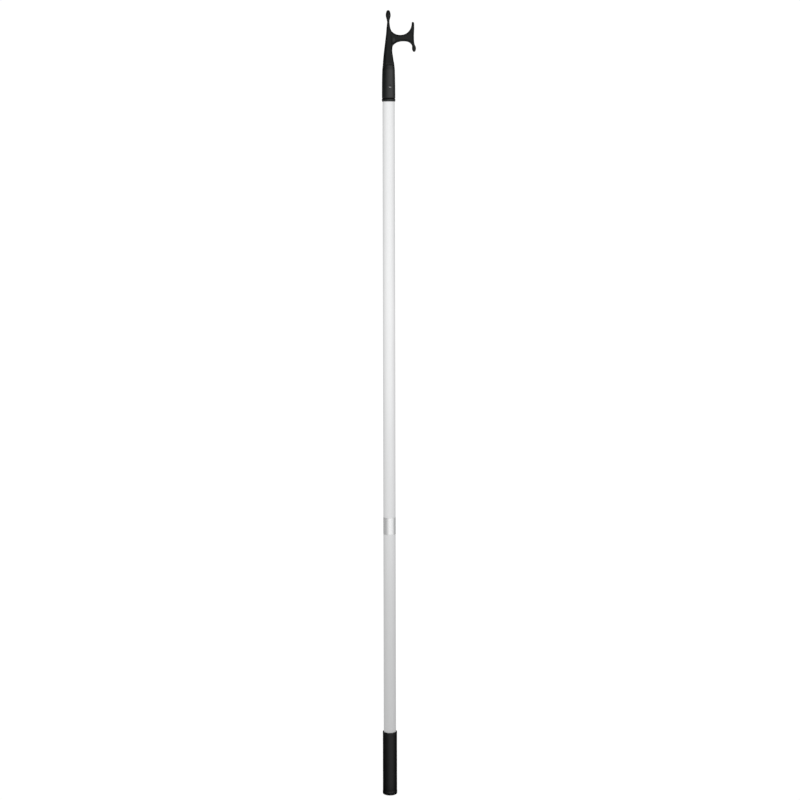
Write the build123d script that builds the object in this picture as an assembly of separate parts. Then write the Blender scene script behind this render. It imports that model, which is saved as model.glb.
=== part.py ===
from build123d import *
import os
from collections import namedtuple
from math import sqrt

# Boat hook, one-piece alloy pole. Millimetres, +Z up the pole.
# The origin is the centre of the flat closed end of the hand grip, the hook points along +X
# and the two rivets lie along -Y (front) and +Y (back).

# ---------------------------------------------------------------- pole and grip dimensions
overall_length = 1800.0     # butt of the grip to the tip of the spike

tube_od = 28.0              # standard drawn tube
tube_wall = 1.5
tube_foot_z = 4.0           # the tube stands on the floor of the grip
tube_top_z = 1640.0         # the tube butts on the shoulder inside the socket
tube_deburr = 0.3
fit_gap = 0.05              # radial clearance between the tube and what slides over or into it

tube_r = tube_od / 2
tube_inner_r = tube_r - tube_wall
bore_r = tube_r + fit_gap   # bore of the grip and of the socket

grip_r = 32.6 / 2
grip_length = 142.5
grip_bead_r = 33.2 / 2      # thicker ring at the closed end
grip_bead_height = 7.0
grip_bead_slope = 2.0       # height over which the bead runs out to the grip
grip_mouth_round = 1.2
grip_foot_round = 1.2

label_wall = 0.12           # foil, one turn round the tube
label_low_z = 596.0
label_high_z = 634.5
label_seam_gap = 0.6

plug_r = tube_inner_r - fit_gap
plug_length = 75.0
plug_chamfer = 1.0
upper_plug_low_z = 1530.0
lower_plug_low_z = 6.0

# ---------------------------------------------------------------- rivet dimensions
# every "y" here is a distance from the pole's axis, the same for both rivets
rivet_z = 1624.0
rivet_body_d = 3.2
rivet_hole_d = rivet_body_d + 0.1
rivet_flange_d = 6.4
rivet_flange_height = 1.0
rivet_seat_y = 14.9         # flat seat spot-faced into the socket wall
rivet_seat_d = 7.2
rivet_bulb_d = 4.8
rivet_bulb_gap = 0.05       # from the bulb to the tube's inner wall
rivet_tail_y = 8.4
mandrel_d = 1.8
mandrel_head_d = 2.8
mandrel_head_height = 1.6

# ---------------------------------------------------------------- socket, shaft and spike
socket_mouth_z = 1589.0
socket_top_z = 1655.0
socket_bead_r = 31.5 / 2
socket_bead_height = 6.2
socket_low_r = 31.0 / 2 - 0.05      # just above the groove
socket_rivet_r = 31.0 / 2 - 0.2     # level with the rivets
socket_top_r = 29.5 / 2
socket_groove_r = socket_low_r - 0.6
socket_lead_in = 0.3        # chamfer at the mouth of the bore
core_r_low = 10.6           # moulding core above the tube's shoulder
core_r_top = 5.0
core_top_z = 1688.0
head_cut_y = 20.0           # cross cuts run out to here, clear of the socket

# rounded bead at the socket's mouth: r from the bead's full radius, z from the mouth
socket_bead = [
    (-1.25, 0.0), (-0.78, 0.8), (-0.36, 1.9), (-0.08, 3.2), (0.0, 4.3), (-0.3, 5.6),
]
# shaft above the socket: height, then half widths towards -X, towards +X, towards +-Y
shaft_sections = [
    (socket_top_z, socket_top_r, socket_top_r, socket_top_r),
    (1661.0, 14.55, 14.65, 14.30),
    (1668.0, 13.85, 14.05, 12.90),
    (1673.0, 13.35, 13.50, 11.50),
    (1677.0, 13.05, 13.05, 10.60),
    (1683.0, 12.60, 11.75, 10.00),
    (1692.0, 11.85, 10.45, 9.60),
    (1701.0, 10.95, 9.15, 9.20),
    (1710.0, 9.85, 8.50, 8.80),
    (1720.0, 8.60, 7.75, 7.90),
    (1729.0, 7.50, 6.90, 7.00),
    (1738.0, 6.45, 5.90, 5.95),
    (1747.0, 5.45, 4.95, 4.95),
    (1756.0, 4.75, 4.20, 4.20),
    (1763.0, 4.00, 3.35, 3.45),
    (1768.0, 3.40, 2.80, 2.90),
]
# spike with its bulb: radius, height
spike_profile = [
    (2.88, 1767.0), (2.70, 1772.0), (2.84, 1774.5), (3.54, 1778.0), (4.54, 1781.4),
    (5.24, 1784.0), (5.68, 1786.5), (5.68, 1789.0), (5.30, 1792.0), (4.65, 1795.0),
    (3.66, 1797.4), (2.25, 1799.2),
]
spike_x = -0.55             # the spike stands a little off the axis, away from the hook

# ---------------------------------------------------------------- arm
arm_thickness = 10.0        # across the rims of the arm
web_thickness = 6.0         # recessed web between the rims
rim_width = 3.2
arm_lean = 0.051            # the arm drops by this much of its reach; outlines are before that

# Openings above and below the arm, each half a super-ellipse (power 2 is a plain ellipse).
# Left is towards the shaft, right towards the hook's end; side is where the arm borders the
# opening, -1 below it and +1 above it.
Opening = namedtuple("Opening", "x z side left_r right_r height left_power right_power")
fork = Opening(x=25.0, z=1774.8, side=-1, left_r=25.6, right_r=30.06, height=30.54,
               left_power=2.20, right_power=2.13)
throat = Opening(x=39.26, z=1709.0, side=1, left_r=32.0, right_r=18.76, height=21.48,
                 left_power=2.08, right_power=2.54)

# x stations of the splines along the openings, for the arm's outline and for its panels
fork_edge_x = [0.0, 3.0, 7.0, 12.0, 18.0, 26.0, 34.0, 40.0, 45.0, 49.5, 52.6, 54.2]
throat_edge_x = [57.8, 57.2, 56.0, 54.0, 51.0, 47.0, 43.0, throat.x,
                 33.0, 26.0, 19.5, 14.0, 10.5, 8.6, 7.8]
panel_right_x = 56.2
panel_top_x = [4.0, 9.0, 15.0, 21.0, 28.0, 36.0, 43.0, 48.0, 51.4]
panel_low_x = [panel_right_x, 53.0, 48.0, 43.0, throat.x, 31.0, 23.0, 15.0, 9.0, 6.0]

# outer edge of the arm from the horn down to the ball: x, z
arm_outer = [
    (60.6, 1773.0), (60.8, 1764.0), (60.3, 1756.0), (59.6, 1745.0),
    (59.9, 1732.0), (61.4, 1724.0), (62.2, 1719.0), (61.7, 1715.5),
]
horn_inner = (55.2, 1774.0)
horn_tip = (57.9, 1776.5)
hook_end = (58.6, 1713.4)           # corner inside the ball
arm_root_low = (0.0, 1712.0)        # corner inside the shaft
panel_right_corners = [(52.4, 1753.2), (55.2, 1753.2), (panel_right_x, 1751.5)]
panel_root_low = (4.0, 1718.0)      # corner inside the shaft

# the arm seen along X, thinning towards the horn and the hook's end: half thickness, z at x = 0
arm_side = [
    (3.0, 1700), (3.0, 1716), (4.2, 1722), (arm_thickness / 2, 1730), (arm_thickness / 2, 1745),
    (4.3, 1754), (3.4, 1763), (2.7, 1771), (2.2, 1778),
]

# egg-shaped ball on the hook's end
ball_x, ball_z = 60.3, 1715.7
ball_r = 4.6
ball_half_height = 8.2
# its profile: fraction of the radius, fraction of the half height
ball_profile = [
    (0, 1), (0.5, 0.866), (0.866, 0.5), (1, 0), (0.866, -0.5), (0.5, -0.866), (0, -1),
]


# ---------------------------------------------------------------- helpers
def turned(points):
    """A solid of revolution about Z from a closed outline of (r, z) points."""
    with BuildPart() as body:
        with BuildSketch(Plane.XZ):
            with BuildLine():
                Polyline(*points, close=True)
            make_face()
        revolve(axis=Axis.Z)
    return body.part


def upright_cylinder(radius, low_z, high_z):
    return Pos(0, 0, (low_z + high_z) / 2) * Cylinder(radius, high_z - low_z)


def cross_cylinder(radius, start_y, end_y, z):
    """A cylinder along Y at height z."""
    return Pos(0, (start_y + end_y) / 2, z) * Rot(90, 0, 0) * Cylinder(radius, abs(end_y - start_y))


def lean(x, z):
    """A point of the arm's outline after the arm has dropped with its reach."""
    return (x, z - arm_lean * x)


def opening_point(opening, x, grow=0.0):
    """The leaned point at x where the arm meets an opening grown by grow all round."""
    if x < opening.x:
        radius, power = opening.left_r, opening.left_power
    else:
        radius, power = opening.right_r, opening.right_power
    reach = abs(x - opening.x) / (radius + grow)
    rise = (opening.height + grow) * (1 - reach ** power) ** (1 / power)
    return lean(x, opening.z + opening.side * rise)


# ---------------------------------------------------------------- pole parts
def make_tube():
    tube = upright_cylinder(tube_r, tube_foot_z, tube_top_z)
    tube -= upright_cylinder(tube_inner_r, tube_foot_z - 1, tube_top_z + 1)
    tube = chamfer(tube.edges().filter_by(GeomType.CIRCLE), tube_deburr)
    return tube - cross_cylinder(rivet_hole_d / 2, -tube_r - 2, tube_r + 2, rivet_z)


def make_grip():
    """A dipped cap with a closed end."""
    grip = turned([
        (0, 0), (grip_bead_r, 0), (grip_bead_r, grip_bead_height),
        (grip_r, grip_bead_height + grip_bead_slope), (grip_r, grip_length),
        (bore_r, grip_length), (bore_r, tube_foot_z), (0, tube_foot_z),
    ])
    foot_edge = grip.edges().filter_by(GeomType.CIRCLE).sort_by(Axis.Z)[0]
    grip = fillet([foot_edge], grip_foot_round)
    mouth_edges = [
        edge for edge in grip.edges().filter_by(GeomType.CIRCLE)
        if abs(edge.center().Z - grip_length) < 0.01 and edge.radius > grip_r - 0.2
    ]
    return fillet(mouth_edges, grip_mouth_round)


def make_label():
    """A foil band, one turn with a butt seam at the back."""
    band = upright_cylinder(tube_r + label_wall, label_low_z, label_high_z)
    band -= upright_cylinder(tube_r, label_low_z - 1, label_high_z + 1)
    # the seam cut is oversize along Y and Z
    return band - Pos(0, tube_r, (label_low_z + label_high_z) / 2) * Box(label_seam_gap, 2.0, 60.0)


def make_plug(low_z):
    """A closed-cell foam plug that keeps water out of the tube."""
    plug = upright_cylinder(plug_r, low_z, low_z + plug_length)
    return chamfer(plug.edges().filter_by(GeomType.CIRCLE), plug_chamfer)


# ---------------------------------------------------------------- hook head, one moulding
def make_socket():
    """The round socket, still solid, with a bead at its mouth and a groove above the bead."""
    bead_top_z = socket_mouth_z + socket_bead_height
    return turned(
        [(0, socket_mouth_z)]
        + [(socket_bead_r + r, socket_mouth_z + z) for r, z in socket_bead]
        + [
            (socket_groove_r + 0.08, bead_top_z + 0.3),
            (socket_groove_r, bead_top_z + 0.8),
            (socket_groove_r, bead_top_z + 1.5),
            (socket_low_r, bead_top_z + 3.0),
            (socket_rivet_r, rivet_z),
            (socket_top_r, socket_top_z),
            (0, socket_top_z),
        ]
    )


def make_shaft():
    """The oval shaft tapering to the spike."""
    sections = []
    for z, minus_x, plus_x, across in shaft_sections:
        plane = Plane(((plus_x - minus_x) / 2, 0, z))
        along = (minus_x + plus_x) / 2
        if abs(along - across) < 0.01:
            sections.append(plane * Circle(along))
        else:
            sections.append(plane * Ellipse(along, across))
    return loft(sections)


def make_spike():
    with BuildPart() as body:
        with BuildSketch(Plane.XZ):
            with BuildLine():
                side = Spline(*spike_profile)
                tip = Line(side @ 1, (0, overall_length))
                Polyline(tip @ 1, (0, spike_profile[0][1]), side @ 0)
            make_face()
        revolve(axis=Axis.Z)
    return Pos(spike_x, 0, 0) * body.part


def arm_blank():
    """The arm's XZ outline: fork, horn, outer edge, hook's end and throat, at full thickness."""
    throat_edge = [opening_point(throat, x) for x in throat_edge_x]
    with BuildSketch(Plane.XZ) as outline:
        with BuildLine():
            upper = Spline(*[opening_point(fork, x) for x in fork_edge_x])
            Polyline(upper @ 1, lean(*horn_inner))
            ThreePointArc(lean(*horn_inner), lean(*horn_tip), lean(*arm_outer[0]))
            outer = Spline(*[lean(x, z) for x, z in arm_outer])
            Polyline(outer @ 1, lean(*hook_end), throat_edge[0])
            lower = Spline(*throat_edge)
            Polyline(lower @ 1, arm_root_low, upper @ 0)
        make_face()
    return extrude(outline.sketch, arm_thickness / 2, both=True)


def arm_taper():
    """The arm's side view swept along its lean."""
    mirrored = [(-y, z) for y, z in reversed(arm_side)]
    with BuildPart() as body:
        with BuildSketch(Plane.YZ):
            with BuildLine():
                Polyline(*arm_side, *mirrored, close=True)
            make_face()
        extrude(amount=80.0, dir=(1, 0, -arm_lean))
    return body.part


def panel_outline():
    """The recessed panel, a rim's width inside the arm's outline."""
    right_corners = [lean(x, z) for x, z in panel_right_corners]
    with BuildSketch(Plane.XZ) as outline:
        with BuildLine():
            top = Spline(*[opening_point(fork, x, rim_width) for x in panel_top_x])
            Polyline(top @ 1, *right_corners, opening_point(throat, panel_right_x, rim_width))
            low = Spline(*[opening_point(throat, x, rim_width) for x in panel_low_x])
            Polyline(low @ 1, panel_root_low, top @ 0)
        make_face()
    return outline.sketch


def make_arm():
    arm = arm_blank() & arm_taper()
    panel = panel_outline()
    for side in (-1, 1):
        recess = extrude(panel, side * 12.0, dir=(0, 1, 0))
        # a slab wider and taller than the arm, as thick as the web that stays
        web = Pos(30.0, 0, 1738.0) * Box(120.0, web_thickness, 120.0)
        arm -= recess - web
    return arm


def make_ball():
    with BuildPart() as body:
        with BuildSketch(Plane.XZ):
            with BuildLine():
                egg = Spline(*[(ball_r * r, ball_half_height * z) for r, z in ball_profile],
                             tangents=((1, 0), (-1, 0)))
                Line(egg @ 1, egg @ 0)
            make_face()
        revolve(axis=Axis.Z)
    return Pos(ball_x, 0, lean(ball_x, ball_z)[1]) * body.part


def make_head():
    head = make_socket() + make_shaft() + make_spike() + make_arm() + make_ball()

    # bore for the tube up to its shoulder, and the chamfer at its mouth
    below = 0.5             # the cutters start this far below the face they open
    head -= upright_cylinder(bore_r, socket_mouth_z - 1, tube_top_z)
    head -= turned([
        (0, socket_mouth_z - below), (bore_r + socket_lead_in + below, socket_mouth_z - below),
        (bore_r, socket_mouth_z + socket_lead_in), (0, socket_mouth_z + socket_lead_in),
    ])
    # tapered core above the shoulder
    head -= turned([
        (0, tube_top_z - below), (core_r_low, tube_top_z - below),
        (core_r_top, core_top_z - 4.0), (core_r_top * 0.7, core_top_z - 1.2), (0, core_top_z),
    ])
    # rivet seats and holes
    for side in (-1, 1):
        head -= cross_cylinder(rivet_seat_d / 2, side * rivet_seat_y, side * head_cut_y, rivet_z)
    return head - cross_cylinder(rivet_hole_d / 2, -head_cut_y, head_cut_y, rivet_z)


# ---------------------------------------------------------------- blind rivets and mandrels
def turned_along_y(points, side):
    """Turn (radius, distance from the pole's axis) points and lay them along +Y or -Y."""
    return Pos(0, 0, rivet_z) * Rot(-90 * side, 0, 0) * turned(points)


def make_rivet(side):
    """A set dome-head rivet: flange on the seat, body through both walls, bulb in the tube."""
    body_r, bulb_r = rivet_body_d / 2, rivet_bulb_d / 2
    flange_r, hole_r = rivet_flange_d / 2, mandrel_d / 2
    bulb_y = sqrt(tube_inner_r ** 2 - bulb_r ** 2) - rivet_bulb_gap
    dome_y = rivet_seat_y + rivet_flange_height
    return turned_along_y([
        (hole_r, rivet_tail_y), (body_r, rivet_tail_y), (bulb_r, rivet_tail_y + 0.9),
        (bulb_r, bulb_y - 0.4), (body_r, bulb_y), (body_r, rivet_seat_y),
        (flange_r, rivet_seat_y), (flange_r, rivet_seat_y + 0.25),
        (flange_r - 0.5, rivet_seat_y + 0.6), (flange_r - 1.3, rivet_seat_y + 0.9),
        (hole_r + 0.2, dome_y), (hole_r, dome_y - 0.15),
    ], side)


def make_mandrel(side):
    """The broken-off stem that stays in the rivet, with its head against the rivet's tail."""
    stem_r, head_r = mandrel_d / 2, mandrel_head_d / 2
    head_y = rivet_tail_y - mandrel_head_height
    return turned_along_y([
        (0, head_y), (head_r * 0.7, head_y), (head_r, head_y + 0.5), (head_r, rivet_tail_y),
        (stem_r, rivet_tail_y), (stem_r, rivet_seat_y + 0.35), (0, rivet_seat_y + 0.45),
    ], side)


# ---------------------------------------------------------------- export
parts = {
    "hook_head": make_head(),
    "pole_tube": make_tube(),
    "hand_grip": make_grip(),
    "label_band": make_label(),
    "rivet_front": make_rivet(-1),
    "rivet_back": make_rivet(1),
    "rivet_mandrel_front": make_mandrel(-1),
    "rivet_mandrel_back": make_mandrel(1),
    "upper_foam_plug": make_plug(upper_plug_low_z),
    "lower_foam_plug": make_plug(lower_plug_low_z),
}

os.makedirs("parts", exist_ok=True)
for name, shape in parts.items():
    solids = shape.solids()
    piece = solids[0] if len(solids) == 1 else Compound(children=list(solids))
    export_step(piece, f"parts/{name}.step")
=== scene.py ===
import math

import bmesh
import bpy
import numpy as np
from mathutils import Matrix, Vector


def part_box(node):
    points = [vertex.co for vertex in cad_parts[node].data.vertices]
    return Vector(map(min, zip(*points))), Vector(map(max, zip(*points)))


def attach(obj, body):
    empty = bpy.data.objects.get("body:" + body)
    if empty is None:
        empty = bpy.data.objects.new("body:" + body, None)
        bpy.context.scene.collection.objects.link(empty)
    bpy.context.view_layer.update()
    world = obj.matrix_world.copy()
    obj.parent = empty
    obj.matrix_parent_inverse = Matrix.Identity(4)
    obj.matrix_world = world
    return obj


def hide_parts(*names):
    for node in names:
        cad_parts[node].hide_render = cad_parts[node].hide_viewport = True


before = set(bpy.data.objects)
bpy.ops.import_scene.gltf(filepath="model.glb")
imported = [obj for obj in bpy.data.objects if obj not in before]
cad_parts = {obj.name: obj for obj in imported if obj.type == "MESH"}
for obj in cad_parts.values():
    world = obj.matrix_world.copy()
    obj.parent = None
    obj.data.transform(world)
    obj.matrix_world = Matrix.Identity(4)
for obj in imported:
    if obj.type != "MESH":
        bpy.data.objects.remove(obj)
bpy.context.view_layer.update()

import openvdb
from mathutils import Quaternion, Vector

MM = 0.001

# ------------------------------------------------------------------ positions from the frame
(head_lo, head_hi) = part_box("hook_head")
(tube_lo, tube_hi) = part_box("pole_tube")
(grip_lo, grip_hi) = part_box("hand_grip")
(label_lo, label_hi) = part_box("label_band")
(rivet_lo, rivet_hi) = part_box("rivet_front")
MOUTH = head_lo[2] / MM                    # the socket's mouth, mm
TIP = 1800.0
TUBE_R = (tube_hi[0] - tube_lo[0]) / 2 / MM
TUBE_TOP = tube_hi[2] / MM
TUBE_FOOT = tube_lo[2] / MM
GRIP_TOP = grip_hi[2] / MM
RIVET_Z = (rivet_lo[2] + rivet_hi[2]) / 2 / MM
SEAT_Y = 14.9
BORE_R = TUBE_R + 0.05
TUBE_RI = TUBE_R - 1.5


# ------------------------------------------------------------------ small helpers
def new_object(name, verts, faces, smooth=True, sharp_deg=None):
    mesh = bpy.data.meshes.new(name)
    mesh.from_pydata([tuple(v) for v in verts], [], [tuple(f) for f in faces])
    mesh.validate()
    if smooth:
        mesh.polygons.foreach_set("use_smooth", [True] * len(mesh.polygons))
    if sharp_deg is not None:
        mesh.set_sharp_from_angle(angle=math.radians(sharp_deg))
    mesh.update()
    o = bpy.data.objects.new(name, mesh)
    bpy.context.scene.collection.objects.link(o)
    return o


def arc(cx, cy, r, a0, a1, n):
    """n + 1 points on a circle from angle a0 to a1 in degrees, for lathe corners."""
    return [
        (cx + r * math.cos(math.radians(a0 + (a1 - a0) * i / n)), cy + r * math.sin(math.radians(a0 + (a1 - a0) * i / n)))
        for i in range(n + 1)
    ]


def lathe(name, profile, segments, warp=None, closed=True, sharp_deg=40.0):
    """Turns a closed (r, z) outline in mm about Z. A point with r 0 becomes one vertex. warp(angle, r, z) gives a new r."""
    verts, rings = [], []
    for r, z in profile:
        if r < 1e-6:
            rings.append([len(verts)])
            verts.append((0.0, 0.0, z * MM))
            continue
        ring = []
        for k in range(segments):
            a = 2 * math.pi * k / segments
            rr = warp(a, r, z) if warp else r
            ring.append(len(verts))
            verts.append((rr * math.cos(a) * MM, rr * math.sin(a) * MM, z * MM))
        rings.append(ring)
    faces = []
    pairs = list(zip(rings, rings[1:])) + ([(rings[-1], rings[0])] if closed else [])
    for a, b in pairs:
        if len(a) == 1 and len(b) == 1:
            continue
        for k in range(segments):
            k2 = (k + 1) % segments
            if len(a) == 1:
                faces.append((a[0], b[k2], b[k]))
            elif len(b) == 1:
                faces.append((a[k], a[k2], b[0]))
            else:
                faces.append((a[k], a[k2], b[k2], b[k]))
    o = new_object(name, verts, faces, True, None)
    bm = bmesh.new()
    bm.from_mesh(o.data)
    bmesh.ops.recalc_face_normals(bm, faces=bm.faces)
    bm.to_mesh(o.data)
    bm.free()
    o.data.set_sharp_from_angle(angle=math.radians(sharp_deg))
    return o


def turn_to_y(o, side, z):
    """A part turned about Z with its outer end up is laid along Y at height z; side is -1 for the front."""
    m = o.data
    co = np.zeros(len(m.vertices) * 3, np.float32)
    m.vertices.foreach_get("co", co)
    co = co.reshape(-1, 3)
    out = np.stack([co[:, 0] * (1 if side > 0 else -1), co[:, 2] * side, co[:, 1] + z * MM], axis=1)
    m.vertices.foreach_set("co", out.astype(np.float32).ravel())
    bm = bmesh.new()
    bm.from_mesh(m)
    bmesh.ops.recalc_face_normals(bm, faces=bm.faces)
    bm.to_mesh(m)
    bm.free()
    m.update()


# ------------------------------------------------------------------ the hook head, one moulding, as a distance field
def smin(a, b, k):
    h = np.clip(0.5 + 0.5 * (b - a) / k, 0.0, 1.0)
    return b * (1 - h) + a * h - k * h * (1 - h)


def smax(a, b, k):
    return -smin(-a, -b, k)


class Table:
    """A smooth curve through (z, value) points that never overshoots them."""

    def __init__(self, points):
        self.z = np.array([p[0] for p in points], float)
        self.v = np.array([p[1] for p in points], float)
        h = np.diff(self.z)
        d = np.diff(self.v) / h
        m = np.zeros_like(self.v)
        m[0], m[-1] = d[0], d[-1]
        for i in range(1, len(m) - 1):
            if d[i - 1] * d[i] > 0:
                w1, w2 = 2 * h[i] + h[i - 1], h[i] + 2 * h[i - 1]
                m[i] = (w1 + w2) / (w1 / d[i - 1] + w2 / d[i])
        self.h, self.m = h, m

    def __call__(self, z):
        z = np.clip(z, self.z[0], self.z[-1])
        i = np.clip(np.searchsorted(self.z, z, side="right") - 1, 0, len(self.h) - 1)
        t = (z - self.z[i]) / self.h[i]
        t2, t3 = t * t, t * t * t
        return (
            (2 * t3 - 3 * t2 + 1) * self.v[i] + (t3 - 2 * t2 + t) * self.h[i] * self.m[i]
            + (-2 * t3 + 3 * t2) * self.v[i + 1] + (t3 - t2) * self.h[i] * self.m[i + 1]
        )


BULB_LEFT = [(1772, 3.05), (1774.5, 3.29), (1778, 4.09), (1781.4, 5.09), (1784, 5.79), (1786.5, 6.23), (1789, 6.23),
             (1792, 5.85), (1795, 5.2), (1797.4, 4.2), (1799.1, 2.65), (1799.85, 0.05)]
BULB_RIGHT = [(1772, 2.35), (1774.5, 2.42), (1778, 2.99), (1781.4, 3.99), (1784, 4.69), (1786.5, 5.13), (1789, 5.13),
              (1792, 4.75), (1795, 4.1), (1797.4, 3.1), (1799.1, 1.55), (1799.85, 0.05)]
SOCKET = [(MOUTH, 14.55), (MOUTH + 0.8, 14.98), (MOUTH + 1.9, 15.39), (MOUTH + 3.2, 15.67), (MOUTH + 4.3, 15.75), (MOUTH + 5.6, 15.45),
          (MOUTH + 6.5, 14.93), (MOUTH + 7.0, 14.85), (MOUTH + 7.7, 14.86), (MOUTH + 9.2, 15.42), (1620, 15.33), (1640, 15.1)]
LEFT = Table(SOCKET + [(1655, 14.75), (1661, 14.55), (1668, 13.85), (1674, 13.3), (1683, 12.6), (1692, 11.85), (1701, 10.95),
             (1710, 9.85), (1720, 8.6), (1729, 7.5), (1738, 6.45), (1747, 5.45), (1756, 4.75), (1763, 4.0), (1768, 3.4)] + BULB_LEFT)
RIGHT = Table(SOCKET + [(1655, 14.75), (1661, 14.65), (1668, 14.05), (1673, 13.5), (1677, 13.05), (1680, 12.4), (1683, 11.75),
              (1688, 11.0), (1694, 10.2), (1700, 9.2), (1710, 8.5), (1720, 7.75), (1729, 6.9), (1738, 5.9), (1747, 4.95),
              (1756, 4.2), (1763, 3.35), (1768, 2.8)] + BULB_RIGHT)
FLAT_Z = 1673.2
FLAT = Table([(1660, 11.2), (1673, 10.5), (1683, 9.5), (1692, 8.9), (1701, 8.3), (1710, 7.7), (1720, 6.9), (1729, 6.1), (1738, 5.4), (1747, 4.9), (1760, 4.6), (1800, 6.0)])
ARM_OUTER = Table([(1702, 61.4), (1708, 61.6), (1714, 61.8), (1719, 62.2), (1724, 61.4), (1732, 59.9), (1745, 59.6),
                   (1756, 60.3), (1764, 60.8), (1770, 60.8), (1775, 60.4)])
ARM_HALF = Table([(1706, 3.2), (1716, 3.4), (1722, 4.2), (1730, 5.0), (1746, 5.0), (1754, 4.3), (1763, 3.4), (1771, 2.7), (1778, 2.3)])
FORK = (25.0, 1774.8, 25.6, 30.06, 30.54, 2.20, 2.13)
THROAT = (39.26, 1709.0, 32.0, 18.76, 21.48, 2.08, 2.54)
RIM, WEB_HALF = 3.2, 3.0
ARM_LEAN = 0.051
BALL = (60.3, 1715.7, 4.6, 8.2)


def super_ellipse(x, z, spec):
    """An opening's outline as two half super-ellipses that share a centre and a height."""
    cx, cz, rx_left, rx_right, rz, n_left, n_right = spec
    rx, n = np.where(x < cx, rx_left, rx_right), np.where(x < cx, n_left, n_right)
    px, pz = np.abs((x - cx) / rx) + 1e-6, np.abs((z - cz) / rz) + 1e-6
    s = px ** n + pz ** n
    k = s ** (1 / n)
    g = s ** (1 / n - 1)
    return (k - 1) / np.sqrt((px ** (n - 1) / rx * g) ** 2 + (pz ** (n - 1) / rz * g) ** 2 + 1e-12)


def ring(x, y, a, b):
    """Distance to an ellipse's outline, close to it."""
    px, py = x / a, y / b
    k0 = np.sqrt(px * px + py * py) + 1e-9
    k1 = np.sqrt((px / a) ** 2 + (py / b) ** 2) + 1e-9
    return k0 * (k0 - 1) / k1


def head_field(x, y, z):
    """Signed distance in mm, negative inside the moulding."""
    left, right = LEFT(z), RIGHT(z)
    across = (left + right) / 2
    body = ring(x, y, np.where(x < 0, left, right), across)
    body = np.maximum(body, z - (TIP - 0.15))
    # flats on the front and the back of the shaft, which start at a small ledge above the socket
    flat = smax(FLAT(z) - np.abs(y), FLAT_Z - z, 1.2)
    body = smax(body, -flat, 0.9)

    # arm: fork above, throat below, rims round a recessed web; it leans down along its reach
    level_z, z = z, z + ARM_LEAN * x
    up = -super_ellipse(x, z, FORK)
    up = np.where(z > FORK[1], np.where(x < FORK[0], FORK[2] - FORK[0] + x, FORK[3] + FORK[0] - x), up)
    low = -super_ellipse(x, z, THROAT)
    low = np.where(z < THROAT[1], np.where(x < THROAT[0], THROAT[2] - THROAT[0] + x, THROAT[3] + THROAT[0] - x), low)
    outer = x - ARM_OUTER(z)
    g = smax(smax(up, low, 1.0), outer, 1.5)
    g = np.maximum(g, -x)
    g = smax(g, np.maximum(z - 1776.3, 1711.0 - z), 2.8)
    half = ARM_HALF(z)
    rr = np.minimum(2.6, half - 0.3)
    w0, w1 = g + rr, np.abs(y) - half + rr
    arm = np.minimum(np.maximum(w0, w1), 0) + np.sqrt(np.maximum(w0, 0) ** 2 + np.maximum(w1, 0) ** 2) - rr
    inner = smax(smax(smax(up, low, 2.0), outer, 3.0), z - 1756.0, 3.0)
    pocket = smax(inner + RIM, WEB_HALF - np.abs(y), 1.3)
    arm = smax(arm, -pocket, 0.9)
    # ejector-pin marks on the back of the web
    for ex, ez in ((14.0, 1736.5), (51.5, 1743.0)):
        mark = np.maximum(np.sqrt((x - ex) ** 2 + (z - ez) ** 2) - 2.0, np.abs(y - WEB_HALF) - 0.18)
        arm = np.maximum(arm, -mark)

    # the ball at the end of the pulling hook
    bx, by, bz = (x - BALL[0]) / BALL[2], y / BALL[2], (z - BALL[1]) / BALL[3]
    k0 = np.sqrt(bx * bx + by * by + bz * bz) + 1e-9
    k1 = np.sqrt((bx / BALL[2]) ** 2 + (by / BALL[2]) ** 2 + (bz / BALL[3]) ** 2) + 1e-9
    arm = smin(arm, k0 * (k0 - 1) / k1, 1.9)
    z = level_z
    d = smin(body, arm, 3.7)

    # the mould's parting line runs round the moulding in the XZ plane
    d = d - 0.10 * np.exp(-((y / 0.42) ** 2))

    # round the socket's mouth, then bore, shoulder and tapered core
    w0, w1 = d + 0.5, MOUTH - z + 0.5
    d = np.minimum(np.maximum(w0, w1), 0) + np.sqrt(np.maximum(w0, 0) ** 2 + np.maximum(w1, 0) ** 2) - 0.5
    r = np.sqrt(x * x + y * y)
    bore = np.maximum(r - BORE_R, z - TUBE_TOP)
    bore = smin(bore, np.maximum((r - BORE_R - 0.4) * 0.7 + (z - MOUTH) * 0.7, MOUTH - 1 - z), 0.2)
    core_r = 10.6 + np.maximum(z - TUBE_TOP, 0.0) * (5.0 - 10.6) / (1684.0 - TUBE_TOP)
    core = smax(np.maximum((r - core_r) * 0.99, TUBE_TOP - 1.0 - z), z - 1688.0, 3.0)
    d = smax(d, -smin(bore, core, 0.4), 0.25)

    # rivet seats and holes
    rv = np.sqrt(x * x + (z - RIVET_Z) ** 2)
    seat = smax(rv - 3.65, SEAT_Y - np.abs(y), 0.35)
    hole = rv - 1.68
    return smax(d, -np.minimum(seat, hole), 0.15)


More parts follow.
